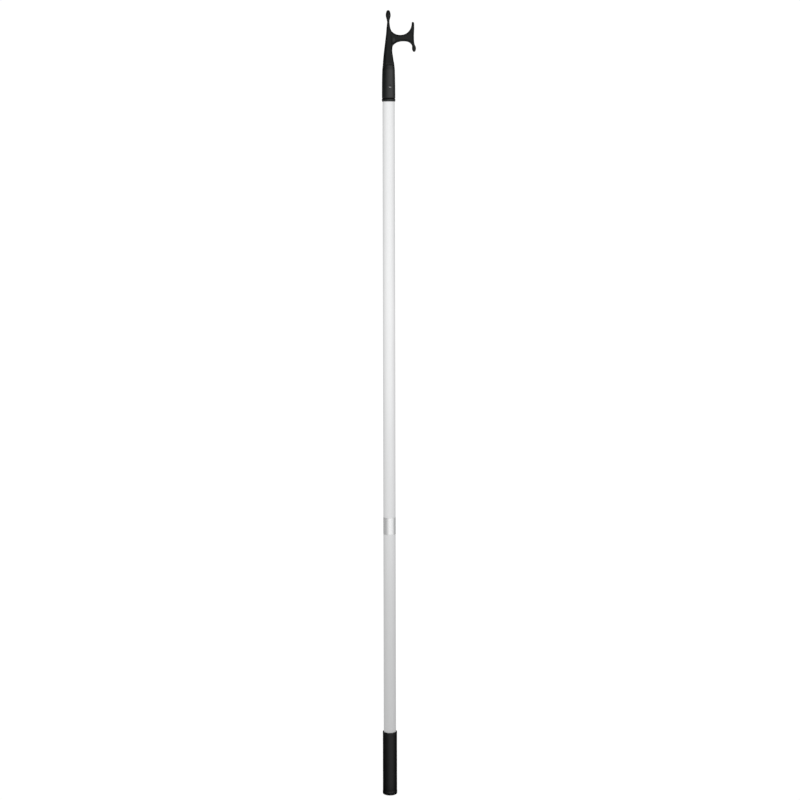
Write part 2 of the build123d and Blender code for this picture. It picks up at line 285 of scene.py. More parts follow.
def head_mesh(voxel):
    lo = np.array([-17.4, -17.0, MOUTH - 1.8])
    hi = np.array([66.4, 17.0, TIP + 1.8])
    n = np.ceil((hi - lo) / voxel).astype(int) + 1
    xs, ys = lo[0] + voxel * np.arange(n[0]), lo[1] + voxel * np.arange(n[1])
    field = np.zeros(n, np.float32)
    for k in range(0, n[2], 24):
        zs = lo[2] + voxel * np.arange(k, min(k + 24, n[2]))
        X, Y, Z = np.meshgrid(xs, ys, zs, indexing="ij")
        field[:, :, k:k + len(zs)] = np.clip(head_field(X, Y, Z), -3 * voxel, 3 * voxel)
    grid = openvdb.FloatGrid(3 * voxel)
    grid.copyFromArray(field)
    points, tris, quads = grid.convertToPolygons(isovalue=0.0, adaptivity=0.0)
    p = lo + np.asarray(points, float) * voxel
    # pull each point on to the exact surface
    e = 0.05
    for _ in range(3):
        d = head_field(p[:, 0], p[:, 1], p[:, 2])
        g = np.stack([
            head_field(p[:, 0] + e, p[:, 1], p[:, 2]) - head_field(p[:, 0] - e, p[:, 1], p[:, 2]),
            head_field(p[:, 0], p[:, 1] + e, p[:, 2]) - head_field(p[:, 0], p[:, 1] - e, p[:, 2]),
            head_field(p[:, 0], p[:, 1], p[:, 2] + e) - head_field(p[:, 0], p[:, 1], p[:, 2] - e),
        ], axis=1) / (2 * e)
        step = (d / np.maximum((g ** 2).sum(axis=1), 0.2))[:, None] * g
        size = np.linalg.norm(step, axis=1, keepdims=True)
        p -= step * np.minimum(1.0, 0.5 * voxel / np.maximum(size, 1e-9))
    faces = [tuple(int(i) for i in t[::-1]) for t in tris] + [tuple(int(i) for i in q[::-1]) for q in quads]
    return p * MM, faces


points, faces = head_mesh(0.6)
head = new_object("hook_head_moulding", points, faces)
bm = bmesh.new()
bm.from_mesh(head.data)
bmesh.ops.recalc_face_normals(bm, faces=bm.faces)
bm.to_mesh(head.data)
bm.free()
head.data.set_sharp_from_angle(angle=math.radians(60))

# ------------------------------------------------------------------ pole tube
SEG = 128
zs_tube = list(np.linspace(TUBE_FOOT + 0.4, TUBE_TOP - 0.4, 60))
tube_profile = (
    [(TUBE_RI, TUBE_FOOT + 0.25), (TUBE_RI + 0.25, TUBE_FOOT)]
    + [(TUBE_R - 0.3, TUBE_FOOT)] + arc(TUBE_R - 0.3, TUBE_FOOT + 0.3, 0.3, -60, 0, 3)
    + [(TUBE_R, z) for z in zs_tube[1:-1]]
    + arc(TUBE_R - 0.3, TUBE_TOP - 0.3, 0.3, 0, 60, 3) + [(TUBE_R - 0.3, TUBE_TOP)]
    + [(TUBE_RI + 0.25, TUBE_TOP), (TUBE_RI, TUBE_TOP - 0.25)]
    + [(TUBE_RI, z) for z in reversed(zs_tube[1:-1])]
)
tube = lathe("pole_tube_drawn", tube_profile, SEG, sharp_deg=50)
drill = lathe("drill", [(0, -30), (1.65, -30), (1.65, 30), (0, 30)], 32)
# a small turn keeps the drill's corners off the tube's own edges
drill.data.transform(Quaternion((0, 0, 1), 0.04).to_matrix().to_4x4())
turn_to_y(drill, 1, RIVET_Z)
cut = tube.modifiers.new("rivet_holes", "BOOLEAN")
cut.object, cut.operation, cut.solver = drill, "DIFFERENCE", "EXACT"
dg = bpy.context.evaluated_depsgraph_get()
drilled = bpy.data.meshes.new_from_object(tube.evaluated_get(dg))
tube.modifiers.clear()
tube.data = drilled
tube.data.set_sharp_from_angle(angle=math.radians(50))
bpy.data.objects.remove(drill)

# ------------------------------------------------------------------ hand grip: a soft dipped sleeve, closed at the foot
GR, GB = 16.3, 16.6
grip_profile = (
    [(0, 0.5), (7.0, 0.5), (7.6, 0.35), (8.4, 0.0)]
    + arc(GB - 1.2, 1.2, 1.2, -90, 0, 8)
    + [(GB, 5.4), (GB - 0.05, 6.6), (GB - 0.22, 7.5), (GR - 0.12, 8.3), (GR - 0.16, 9.2), (GR - 0.04, 10.4), (GR, 12.0)]
    + [(GR, z) for z in np.linspace(18, GRIP_TOP - 14, 20)]
    + [(GR + 0.02, GRIP_TOP - 8.0), (GR + 0.10, GRIP_TOP - 4.5)]
    + arc(GR + 0.12 - 1.5, GRIP_TOP - 1.5, 1.5, 0, 90, 7)
    + [(BORE_R + 0.5, GRIP_TOP), (BORE_R + 0.12, GRIP_TOP - 0.2), (BORE_R, GRIP_TOP - 0.7)]
    + [(BORE_R, z) for z in np.linspace(GRIP_TOP - 6, TUBE_FOOT + 3, 12)]
    + [(BORE_R, TUBE_FOOT), (0, TUBE_FOOT)]
)


def grip_warp(a, r, z):
    if r < BORE_R + 1.0:
        return r
    # soft vinyl is never quite round or even
    return r + 0.035 * math.sin(2 * a + 0.7 + z * 0.02) + 0.03 * math.sin(z * 0.11 + 1.3 * math.sin(a)) * (10 < z < GRIP_TOP - 6)


grip = lathe("hand_grip_sleeve", grip_profile, 96, warp=grip_warp, closed=False, sharp_deg=60)

# ------------------------------------------------------------------ label: one turn of foil with its end lapped over its start
LZ0, LZ1 = label_lo[2] / MM, label_hi[2] / MM
foil_t = 0.10


def foil_strip():
    verts, faces = [], []
    n, start, turn = 150, math.radians(90.0), math.radians(371.0)
    rows = [0.0, 0.06, 0.35] + list(np.linspace(1.2, LZ1 - LZ0 - 1.2, 14)) + [LZ1 - LZ0 - 0.35, LZ1 - LZ0 - 0.06, LZ1 - LZ0]
    rng = np.random.default_rng(7)
    ripple = rng.normal(0, 1, (6, 4))
    for side in (0, 1):
        for i in range(n + 1):
            t = i / n
            a = start + turn * t
            # the last stretch climbs over the start of the strip
            climb = min(1.0, max(0.0, (t * 371.0 - 352.0) / 7.0))
            climb = climb * climb * (3 - 2 * climb)
            for j, h in enumerate(rows):
                edge = 0.02 if 0 < j < len(rows) - 1 else 0.0
                wave = sum(ripple[m, 0] * 0.006 * math.sin((m + 1) * a * 1.0 + ripple[m, 1] * 3 + h * 0.15 * ripple[m, 2]) for m in range(6))
                r = TUBE_R + 0.012 + climb * (foil_t + 0.02) + side * (foil_t - 0.02 + edge) + max(-0.008, min(0.02, wave)) * (h > 0)
                verts.append((r * math.cos(a) * MM, r * math.sin(a) * MM, (LZ0 + h) * MM))
    m = len(rows)
    block = (n + 1) * m
    for i in range(n):
        for j in range(m - 1):
            a, b, c, d = i * m + j, (i + 1) * m + j, (i + 1) * m + j + 1, i * m + j + 1
            faces.append((a + block, b + block, c + block, d + block))
            faces.append((d, c, b, a))
        for j in (0, m - 1):
            a, b = i * m + j, (i + 1) * m + j
            faces.append((a, b, b + block, a + block) if j == 0 else (b, a, a + block, b + block))
    for i in (0, n):
        for j in range(m - 1):
            a, b = i * m + j, i * m + j + 1
            faces.append((b, a, a + block, b + block) if i == 0 else (a, b, b + block, a + block))
    o = new_object("label_band_foil", verts, faces, True, None)
    bm = bmesh.new()
    bm.from_mesh(o.data)
    bmesh.ops.recalc_face_normals(bm, faces=bm.faces)
    bm.to_mesh(o.data)
    bm.free()
    o.data.set_sharp_from_angle(angle=math.radians(45))
    return o


label = foil_strip()


# ------------------------------------------------------------------ blind rivets and their mandrels
def rivet(side, name):
    """Turned with its outer end up; heights are distances from the pole's axis."""
    rm, rb, rf, s = 0.93, 1.6, 3.2, SEAT_Y
    dome = []
    for i in range(13):
        t = i / 12
        a = math.radians(4 + 82 * t)
        dome.append((rf - 0.02 - (rf - rm - 0.30) * (1 - math.cos(math.radians(90 * t))), s + 0.22 + 0.80 * math.sin(math.radians(90 * t))))
    profile = (
        [(rm, 8.4), (1.3, 8.35), (1.75, 8.6), (2.15, 9.1), (2.4, 9.8), (2.4, 11.0), (2.25, 11.6), (1.9, 12.0), (rb, 12.15), (rb, s - 0.2), (rb + 0.15, s)]
        + [(rf - 0.1, s), (rf, s + 0.08)] + dome
        + [(rm + 0.12, s + 0.99), (rm + 0.02, s + 0.9), (rm, s + 0.72), (rm, 12.0)]
    )
    o = lathe(name, profile, 48, sharp_deg=55)
    turn_to_y(o, side, RIVET_Z)
    o.data.set_sharp_from_angle(angle=math.radians(55))
    return o


def mandrel(side, name):
    s = SEAT_Y
    profile = (
        [(0, 6.8), (0.7, 6.82), (1.1, 6.98), (1.34, 7.25), (1.4, 7.6), (1.36, 8.0), (1.2, 8.28), (0.9, 8.36), (0.89, 9.0)]
        + [(0.89 - 0.05 * (i % 2), 9.4 + 0.4 * i) for i in range(12)]
        + [(0.86, s + 0.28), (0.74, s + 0.40), (0.5, s + 0.36), (0.3, s + 0.47), (0, s + 0.42)]
    )
    o = lathe(name, profile, 24, sharp_deg=40, closed=False)
    turn_to_y(o, side, RIVET_Z)
    o.data.set_sharp_from_angle(angle=math.radians(40))
    return o


rivet_f, rivet_b = rivet(-1, "rivet_front_set"), rivet(1, "rivet_back_set")
mandrel_f, mandrel_b = mandrel(-1, "rivet_mandrel_front_stub"), mandrel(1, "rivet_mandrel_back_stub")


# ------------------------------------------------------------------ foam plugs, cut from closed-cell rod and pushed in
def plug(name, node, seed):
    lo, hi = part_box(node)
    z0, z1 = lo[2] / MM, hi[2] / MM
    r = (hi[0] - lo[0]) / 2 / MM
    rng = np.random.default_rng(seed)
    ph = rng.uniform(0, 6.28, 8)

    def warp(a, rr, z):
        if rr < 2:
            return rr
        return rr - 0.10 - 0.09 * math.sin(3 * a + ph[0] + z * 0.13) * math.sin(z * 0.31 + ph[1]) - 0.05 * math.sin(9 * a + ph[2] + z * 0.5)

    prof = (
        [(0, z0 + 0.3), (r * 0.5, z0 + 0.2), (r - 1.6, z0 + 0.15)] + arc(r - 1.4, z0 + 1.45, 1.4, -80, 0, 5)
        + [(r, z) for z in np.linspace(z0 + 3, z1 - 3, 26)]
        + arc(r - 1.4, z1 - 1.45, 1.4, 0, 80, 5) + [(r - 1.6, z1 - 0.15), (r * 0.5, z1 - 0.2), (0, z1 - 0.3)]
    )
    return lathe(name, prof, 64, warp=warp, closed=False, sharp_deg=60)


plug_top = plug("upper_foam_plug_cut", "upper_foam_plug", 3)
plug_foot = plug("lower_foam_plug_cut", "lower_foam_plug", 5)


# ------------------------------------------------------------------ materials
class Nodes:
    def __init__(self, name):
        self.mat = bpy.data.materials.new(name)
        self.mat.use_nodes = True
        self.t = self.mat.node_tree
        self.t.nodes.clear()
        self.out = self.add("ShaderNodeOutputMaterial")
        self.bsdf = self.add("ShaderNodeBsdfPrincipled")
        self.link(self.bsdf.outputs["BSDF"], self.out.inputs["Surface"])
        self.coord = self.add("ShaderNodeTexCoord").outputs["Object"]

    def add(self, kind, **settings):
        n = self.t.nodes.new(kind)
        for k, v in settings.items():
            setattr(n, k, v)
        return n

    def link(self, a, b):
        self.t.links.new(a, b)

    def scaled(self, scale, loc=(0, 0, 0)):
        m = self.add("ShaderNodeMapping")
        m.inputs["Scale"].default_value = scale if hasattr(scale, "__len__") else (scale,) * 3
        m.inputs["Location"].default_value = loc
        self.link(self.coord, m.inputs["Vector"])
        return m.outputs["Vector"]

    def noise(self, scale, detail=3.0, rough=0.5, loc=(0, 0, 0), distort=0.0):
        n = self.add("ShaderNodeTexNoise")
        n.inputs["Scale"].default_value = 1.0
        n.inputs["Detail"].default_value = detail
        n.inputs["Roughness"].default_value = rough
        n.inputs["Distortion"].default_value = distort
        self.link(self.scaled(scale, loc), n.inputs["Vector"])
        return n.outputs["Fac"]

    def ramp(self, fac, stops):
        """Maps a value through (position, value) stops, the value as a grey or a colour."""
        r = self.add("ShaderNodeValToRGB")
        while len(r.color_ramp.elements) < len(stops):
            r.color_ramp.elements.new(0.5)
        for e, (p, v) in zip(r.color_ramp.elements, stops):
            e.position = p
            e.color = (v, v, v, 1) if not hasattr(v, "__len__") else (*v, 1)
        self.link(fac, r.inputs["Fac"])
        return r.outputs["Color"]

    def math(self, op, a, b=None, clamp=False):
        m = self.add("ShaderNodeMath", operation=op, use_clamp=clamp)
        for i, v in enumerate((a, b)):
            if v is None:
                continue
            if isinstance(v, (int, float)):
                m.inputs[i].default_value = v
            else:
                self.link(v, m.inputs[i])
        return m.outputs[0]

    def mix(self, fac, a, b):
        m = self.add("ShaderNodeMix", data_type="RGBA")
        for sock, v in ((m.inputs["Factor"], fac), (m.inputs[6], a), (m.inputs[7], b)):
            if isinstance(v, (int, float)):
                sock.default_value = v
            elif hasattr(v, "__len__"):
                sock.default_value = (*v, 1)
            else:
                self.link(v, sock)
        return m.outputs[2]

    def bump(self, height, strength, distance, normal=None):
        b = self.add("ShaderNodeBump")
        if isinstance(strength, (int, float)):
            b.inputs["Strength"].default_value = strength
        else:
            self.link(strength, b.inputs["Strength"])
        b.inputs["Distance"].default_value = distance
        self.link(height, b.inputs["Height"])
        if normal is not None:
            self.link(normal, b.inputs["Normal"])
        return b.outputs["Normal"]

    def set(self, **values):
        for k, v in values.items():
            s = self.bsdf.inputs[k.replace("_", " ")]
            if isinstance(v, (int, float)):
                s.default_value = v
            elif hasattr(v, "__len__"):
                s.default_value = (*v, 1)
            else:
                self.link(v, s)
        return self.mat

    def angle_coord(self, turns, per_z, radius=14.0):
        """A vector that runs round the pole in x and up it in y, for patterns drawn along the tube."""
        sep = self.add("ShaderNodeSeparateXYZ")
        self.link(self.coord, sep.inputs[0])
        ang = self.math("ARCTAN2", sep.outputs["Y"], sep.outputs["X"])
        comb = self.add("ShaderNodeCombineXYZ")
        # cos and sin keep the pattern whole where the angle wraps
        self.link(self.math("MULTIPLY", self.math("COSINE", ang), turns), comb.inputs[0])
        self.link(self.math("MULTIPLY", self.math("SINE", ang), turns), comb.inputs[1])
        self.link(self.math("MULTIPLY", sep.outputs["Z"], per_z), comb.inputs[2])
        return comb.outputs[0]


def nylon():
    n = Nodes("black_moulded_nylon")
    cloud = n.noise(55, 4, 0.55)
    grain = n.noise(2600, 2, 0.6)
    fine = n.noise(900, 3, 0.6, loc=(3, 1, 7))
    # flow marks, stretched along the moulding
    flow = n.noise((140, 140, 16), 3, 0.5, loc=(5, 2, 1), distort=0.4)
    geo = n.add("ShaderNodeNewGeometry")
    edge = n.ramp(geo.outputs["Pointiness"], [(0.50, 0.0), (0.56, 1.0)])
    rub = n.math("MULTIPLY", edge, n.ramp(n.noise(300, 4, 0.7, loc=(1, 8, 2)), [(0.50, 0.0), (0.72, 1.0)]), clamp=True)
    scuff = n.ramp(n.noise((700, 700, 90), 2, 0.7, loc=(9, 4, 3), distort=1.2), [(0.66, 0.0), (0.78, 1.0)])
    base = n.mix(n.ramp(cloud, [(0.3, 0.0), (0.75, 1.0)]), (0.0036, 0.0045, 0.0043), (0.0062, 0.0075, 0.0072))
    base = n.mix(n.math("MULTIPLY", rub, 0.30), base, (0.050, 0.054, 0.053))
    base = n.mix(n.math("MULTIPLY", scuff, 0.10), base, (0.045, 0.048, 0.047))
    # the mould is polished round the socket and spark-eroded above it
    sep = n.add("ShaderNodeSeparateXYZ")
    n.link(n.coord, sep.inputs[0])
    matt = n.ramp(n.math("MULTIPLY", n.math("SUBTRACT", sep.outputs["Z"], 1.664), 1 / 0.02, clamp=True), [(0.25, 0.0), (0.75, 1.0)])
    # painted shade in the groove above the mouth's bead: the colour is darkened there, and the surface is made rougher
    # and less glossy
    off = n.math("ABSOLUTE", n.math("SUBTRACT", sep.outputs["Z"], (MOUTH + 7.3) * MM))
    groove_shade = n.ramp(n.math("MULTIPLY", off, 1 / 0.003, clamp=True), [(0.35, 1.0), (0.65, 0.0)])
    # painted shade: the base colour in the groove is darkened
    base = n.mix(groove_shade, base, (0.003, 0.003, 0.003))
    rough = n.math("ADD", n.math("MULTIPLY", flow, 0.12), 0.17)
    rough = n.math("ADD", rough, n.math("MULTIPLY", matt, 0.22))
    rough = n.math("ADD", rough, n.math("MULTIPLY", groove_shade, 0.35))
    rough = n.math("ADD", rough, n.math("MULTIPLY", scuff, 0.10), clamp=True)
    h = n.math("ADD", n.math("MULTIPLY", grain, 0.5), n.math("MULTIPLY", fine, 0.8))
    normal = n.bump(h, n.math("ADD", n.math("MULTIPLY", matt, 0.18), 0.16), 0.00004)
    # lines rub the root of the arm smooth
    dx = n.math("MULTIPLY", n.math("SUBTRACT", sep.outputs["X"], 0.0122), 1 / 0.0040)
    dz = n.math("MULTIPLY", n.math("SUBTRACT", sep.outputs["Z"], 1.7305), 1 / 0.0085)
    near = n.math("ADD", n.math("MULTIPLY", dx, dx), n.math("MULTIPLY", dz, dz))
    polish = n.ramp(n.math("ADD", near, n.math("MULTIPLY", cloud, 0.6)), [(0.15, 1.0), (0.95, 0.0)])
    rough = n.math("SUBTRACT", rough, n.math("MULTIPLY", polish, 0.12), clamp=True)
    gloss = n.math("SUBTRACT", 0.5, n.math("MULTIPLY", matt, 0.27))
    gloss = n.math("ADD", gloss, n.math("MULTIPLY", polish, 0.30))
    gloss = n.math("SUBTRACT", gloss, n.math("MULTIPLY", groove_shade, 0.40), clamp=True)
    return n.set(Base_Color=base, Roughness=rough, Normal=normal, Specular_IOR_Level=gloss, IOR=1.53)


def alloy():
    n = Nodes("satin_anodised_aluminium")
    draw = n.add("ShaderNodeTexNoise")
    draw.inputs["Scale"].default_value = 1.0
    draw.inputs["Detail"].default_value = 5.0
    draw.inputs["Roughness"].default_value = 0.65
    n.link(n.angle_coord(46.0, 5.0), draw.inputs["Vector"])
    lines = draw.outputs["Fac"]
    fine = n.add("ShaderNodeTexNoise")
    fine.inputs["Scale"].default_value = 1.0
    fine.inputs["Detail"].default_value = 3.0
    n.link(n.angle_coord(190.0, 14.0), fine.inputs["Vector"])
    hair = fine.outputs["Fac"]
    haze = n.noise((30, 30, 4), 4, 0.55, loc=(2, 2, 2))
    # rare handling scratches across the tube
    sc = n.ramp(n.noise((60, 60, 900), 2, 0.8, loc=(7, 3, 1), distort=2.0), [(0.735, 0.0), (0.80, 1.0)])
    base = n.mix(n.ramp(haze, [(0.3, 0.0), (0.7, 1.0)]), (0.845, 0.85, 0.855), (0.90, 0.903, 0.906))
    base = n.mix(n.math("MULTIPLY", n.ramp(lines, [(0.35, 1.0), (0.62, 0.0)]), 0.16), base, (0.70, 0.71, 0.72))
    base = n.mix(n.math("MULTIPLY", sc, 0.25), base, (0.62, 0.62, 0.63))
    rough = n.math("ADD", n.math("MULTIPLY", hair, 0.16), 0.42)
    rough = n.math("ADD", rough, n.math("MULTIPLY", haze, 0.08), clamp=True)
    h = n.math("ADD", n.math("MULTIPLY", lines, 0.6), n.math("MULTIPLY", hair, 0.4))
    normal = n.bump(h, 0.35, 0.00003)
    return n.set(Base_Color=base, Metallic=0.05, Roughness=rough, Normal=normal)


def vinyl():
    n = Nodes("black_dipped_vinyl")
    cloud = n.noise(70, 4, 0.5)
    orange = n.noise(420, 2, 0.45)
    grain = n.noise(2200, 2, 0.6, loc=(4, 4, 4))
    dust = n.ramp(n.noise(160, 5, 0.75, loc=(6, 1, 3)), [(0.58, 0.0), (0.80, 1.0)])
    sep = n.add("ShaderNodeSeparateXYZ")
    n.link(n.coord, sep.inputs[0])
    low = n.ramp(n.math("MULTIPLY", sep.outputs["Z"], 1 / 0.03, clamp=True), [(0.0, 1.0), (1.0, 0.0)])
    base = n.mix(n.ramp(cloud, [(0.3, 0.0), (0.7, 1.0)]), (0.0018, 0.0020, 0.0023), (0.0036, 0.0039, 0.0044))
    base = n.mix(n.math("MULTIPLY", dust, n.math("ADD", n.math("MULTIPLY", low, 0.22), 0.05)), base, (0.075, 0.073, 0.07))
    rough = n.math("ADD", n.math("MULTIPLY", cloud, 0.14), 0.26)
    rough = n.math("ADD", rough, n.math("MULTIPLY", dust, 0.18), clamp=True)
    h = n.math("ADD", n.math("MULTIPLY", orange, 1.0), n.math("MULTIPLY", grain, 0.25))
    return n.set(Base_Color=base, Roughness=rough, Normal=n.bump(h, 0.22, 0.00008), IOR=1.5)


def foil():
    n = Nodes("silver_label_foil")
    wrinkle = n.noise((90, 90, 40), 4, 0.5, distort=0.6)
    fine = n.noise(700, 3, 0.6)
    sep = n.add("ShaderNodeSeparateXYZ")
    n.link(n.coord, sep.inputs[0])
    mid = (LZ0 + LZ1) / 2 * MM
    off = n.math("ABSOLUTE", n.math("SUBTRACT", sep.outputs["Z"], mid))
    rim = n.ramp(n.math("MULTIPLY", off, 1 / ((LZ1 - LZ0) / 2 * MM), clamp=True), [(0.955, 0.0), (0.985, 1.0)])
    base = n.mix(n.ramp(fine, [(0.3, 0.0), (0.7, 1.0)]), (0.88, 0.885, 0.89), (0.94, 0.942, 0.945))
    base = n.mix(n.math("MULTIPLY", rim, 0.45), base, (0.60, 0.60, 0.61))
    rough = n.math("ADD", n.math("MULTIPLY", wrinkle, 0.10), 0.21)
    rough = n.math("ADD", rough, n.math("MULTIPLY", rim, 0.15), clamp=True)
    h = n.math("ADD", wrinkle, n.math("MULTIPLY", fine, 0.08))
    return n.set(Base_Color=base, Metallic=0.85, Roughness=rough, Normal=n.bump(h, 0.30, 0.00012))


def black_paint():
    n = Nodes("black_lacquered_rivet")
    cloud = n.noise(900, 3, 0.5)
    chip = n.ramp(n.noise(1500, 4, 0.7, loc=(2, 9, 5)), [(0.70, 0.0), (0.74, 1.0)])
    # the flange's rim is worn to bare metal, unevenly
    sep = n.add("ShaderNodeSeparateXYZ")
    n.link(n.coord, sep.inputs[0])
    dz = n.math("SUBTRACT", sep.outputs["Z"], RIVET_Z * MM)
    dist = n.math("SQRT", n.math("ADD", n.math("MULTIPLY", dz, dz), n.math("MULTIPLY", sep.outputs["X"], sep.outputs["X"])))
    uneven = n.math("MULTIPLY", n.math("SUBTRACT", n.noise(420, 3, 0.6, loc=(8, 3, 1)), 0.5), 0.0012)
    rim = n.ramp(n.math("MULTIPLY", n.math("SUBTRACT", n.math("ADD", dist, uneven), 0.0020), 1 / 0.0009, clamp=True), [(0.20, 0.0), (0.50, 1.0)])
    # hands and lines rub the lower half most
    low = n.ramp(n.math("ADD", n.math("MULTIPLY", dz, 1 / 0.0064), 0.5, clamp=True), [(0.22, 1.0), (0.42, 0.05)])
    chip = n.math("MAXIMUM", n.math("MULTIPLY", chip, 0.5), n.math("MULTIPLY", rim, low))
    base = n.mix(n.ramp(cloud, [(0.3, 0.0), (0.7, 1.0)]), (0.004, 0.004, 0.0045), (0.007, 0.007, 0.0075))
    base = n.mix(n.math("MULTIPLY", chip, 0.95), base, (0.88, 0.88, 0.88))
    rough = n.math("ADD", n.math("MULTIPLY", cloud, 0.10), 0.38)
    return n.set(Base_Color=base, Metallic=n.math("MULTIPLY", chip, 0.9), Roughness=rough, Specular_IOR_Level=0.34,
                 Normal=n.bump(n.math("SUBTRACT", cloud, chip), 0.3, 0.00003))


def steel():
    n = Nodes("drawn_steel_mandrel")
    lines = n.noise((4000, 250, 4000), 3, 0.6)
    spots = n.noise(1800, 3, 0.6, loc=(1, 2, 3))
    base = n.mix(n.ramp(spots, [(0.4, 0.0), (0.75, 1.0)]), (0.50, 0.50, 0.51), (0.34, 0.33, 0.32))
    rough = n.math("ADD", n.math("MULTIPLY", lines, 0.25), 0.22)
    return n.set(Base_Color=base, Metallic=1.0, Roughness=rough, Normal=n.bump(lines, 0.3, 0.00003))


def foam():
    n = Nodes("closed_cell_foam")
    v = n.add("ShaderNodeTexVoronoi")
    v.inputs["Scale"].default_value = 1.0
    n.link(n.scaled(900), v.inputs["Vector"])
    cells = v.outputs["Distance"]
    cloud = n.noise(80, 3, 0.5)
    base = n.mix(n.ramp(cells, [(0.0, 1.0), (0.7, 0.0)]), (0.62, 0.62, 0.58), (0.80, 0.80, 0.76))
    base = n.mix(n.math("MULTIPLY", cloud, 0.25), base, (0.70, 0.69, 0.62))
    rough = n.math("ADD", n.math("MULTIPLY", cells, 0.15), 0.72, clamp=True)
    return n.set(Base_Color=base, Roughness=rough, Normal=n.bump(cells, 0.6, 0.0003))


NYLON, ALLOY, VINYL, FOIL, PAINT, STEEL, FOAM = nylon(), alloy(), vinyl(), foil(), black_paint(), steel(), foam()

pieces = [
    (head, "hook_head", "head_nylon", NYLON),
    (tube, "pole_tube", "pole_alloy", ALLOY),
    (grip, "hand_grip", "grip_vinyl", VINYL),
    (label, "label_band", "label_foil", FOIL),
    (rivet_f, "rivet_front", "rivet_black", PAINT),
    (rivet_b, "rivet_back", "rivet_black", PAINT),
    (mandrel_f, "rivet_mandrel_front", "mandrel_steel", STEEL),
    (mandrel_b, "rivet_mandrel_back", "mandrel_steel", STEEL),
    (plug_top, "upper_foam_plug", "plug_foam", FOAM),
    (plug_foot, "lower_foam_plug", "plug_foam", FOAM),
]
for o, node, slot_name, mat in pieces:
    o.data.materials.clear()
    o.data.materials.append(mat)
    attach(o, "root")
    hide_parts(node)

# ------------------------------------------------------------------ studio settings, as seen from the camera's side
# Strength of the light a finish mirrors, against angle round the object: 0 is towards the camera, + to its right.
# Level with the hook the soft front panel reaches further to the right than lower down.
AZ_HIGH = [(-180, 0.02), (-110, 0.02), (-75, 0.04), (-55, 0.13), (-34, 0.32), (-16, 0.53), (0, 0.72), (20, 0.90), (41, 1.02),
           (62, 0.92), (80, 0.52), (95, 0.25), (114, 0.08), (140, 0.03), (180, 0.02)]
AZ_LOW = [(-180, 0.14), (-120, 0.26), (-77, 0.27), (-55, 0.34), (-34, 0.46), (-15, 0.60), (4, 0.68), (23, 0.66), (42, 0.60),
          (63, 0.55), (87, 0.39), (117, 0.24), (180, 0.14)]
AZ_FLOOR = [(-180, 0.02), (-99, 0.02), (-76, 0.07), (-57, 0.12), (-39, 0.18), (-23, 0.30), (-6, 0.46), (10, 0.52), (26, 0.52),
            (43, 0.48), (60, 0.30), (81, 0.12), (104, 0.02), (180, 0.02)]
EL_STOPS = [(-90, 0.50), (-32, 0.40), (-24, 0.55), (-17, 0.95), (0, 1.0), (8, 1.0), (12, 0.70), (20, 0.35), (45, 0.22), (90, 0.20)]
PANEL = 1.5
AMBIENT = 0.585
BACKDROP = 1.03
FLOOR_SEEN = 1.03
FLOOR_MIRROR = 1.0
FLOOR_DIFFUSE = 0.57
KEY_WATTS = 3.1
TURN = math.radians(13.0)
FORWARD = Vector((math.sin(TURN), math.cos(TURN), 0.0))
RIGHT = Vector((math.cos(TURN), -math.sin(TURN), 0.0))

# ------------------------------------------------------------------ floor
floor_mesh = bpy.data.meshes.new("floor")
bm = bmesh.new()
bmesh.ops.create_grid(bm, x_segments=2, y_segments=2, size=40.0)
bm.to_mesh(floor_mesh)
bm.free()
floor = bpy.data.objects.new("studio_floor", floor_mesh)
bpy.context.scene.collection.objects.link(floor)
floor.location = (0, 0, -0.0005)
fm = bpy.data.materials.new("pale_floor")
fm.use_nodes = True
t = fm.node_tree
t.nodes.clear()
out = t.nodes.new("ShaderNodeOutputMaterial")


def fnode(kind, **settings):
    n = t.nodes.new(kind)
    for k, v in settings.items():
        setattr(n, k, v)
    return n


def fmath(op, a, b=None, clamp=False):
    m = fnode("ShaderNodeMath", operation=op, use_clamp=clamp)
    for i, v in enumerate((a, b)):
        if v is None:
            continue
        if isinstance(v, (int, float)):
            m.inputs[i].default_value = v
        else:
            t.links.new(v, m.inputs[i])
    return m.outputs[0]


# what the camera sees: white paper with a faint contact shade
ao = fnode("ShaderNodeAmbientOcclusion", samples=8)
ao.inputs["Distance"].default_value = 0.10
seen = fmath("ADD", fmath("MULTIPLY", ao.outputs["AO"], 0.08), FLOOR_SEEN - 0.08)
# what the object's finish mirrors: bright towards the camera's side, darker at the sides
incoming = fnode("ShaderNodeNewGeometry").outputs["Incoming"]
to_cam = fnode("ShaderNodeVectorTransform", vector_type="VECTOR", convert_from="WORLD", convert_to="CAMERA")
t.links.new(incoming, to_cam.inputs[0])
sep = fnode("ShaderNodeSeparateXYZ")
t.links.new(to_cam.outputs[0], sep.inputs[0])
floor_az = fmath("MULTIPLY", fmath("ARCTAN2", fmath("MULTIPLY", sep.outputs["X"], -1.0), sep.outputs["Z"]), 57.29578)


def fround(stops):
    r = fnode("ShaderNodeValToRGB")
    r.color_ramp.interpolation = "EASE"
    while len(r.color_ramp.elements) < len(stops):
        r.color_ramp.elements.new(0.5)
    for e, (p, v) in zip(r.color_ramp.elements, stops):
        e.position = (p + 180) / 360
        e.color = (v, v, v, 1)
    t.links.new(fmath("DIVIDE", fmath("ADD", floor_az, 180.0), 360.0, clamp=True), r.inputs["Fac"])
    return r.outputs["Color"]


